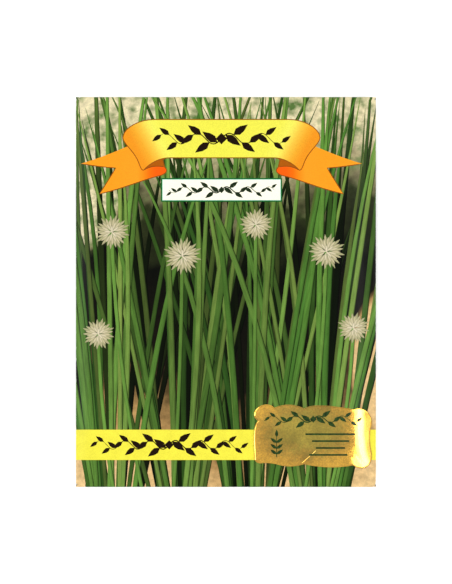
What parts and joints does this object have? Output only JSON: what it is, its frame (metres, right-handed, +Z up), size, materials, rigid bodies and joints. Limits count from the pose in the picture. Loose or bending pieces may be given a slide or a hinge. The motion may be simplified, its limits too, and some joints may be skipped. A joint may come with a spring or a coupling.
{
  "type": "seed packet",
  "caption": "Flat sealed paper seed packet, folded from one printed sheet, slightly pillowed by the seeds inside, with a lobed gold foil label near one corner.",
  "frame": {"origin": "middle of the packet's length and width, on the surface that it lies on", "axes": "+X across the packet, +Y towards its top edge, +Z up out of its printed front"},
  "size_m": [0.1, 0.13, 0.0045],
  "materials": {
    "printed_paper": "gloss",
    "gold_foil": "satin",
    "seed_coat": "matte"
  },
  "bodies": {
    "root": {"envelope": "printed_paper", "gold_sticker": "gold_foil", "seeds": "seed_coat"}
  },
  "joints": []
}
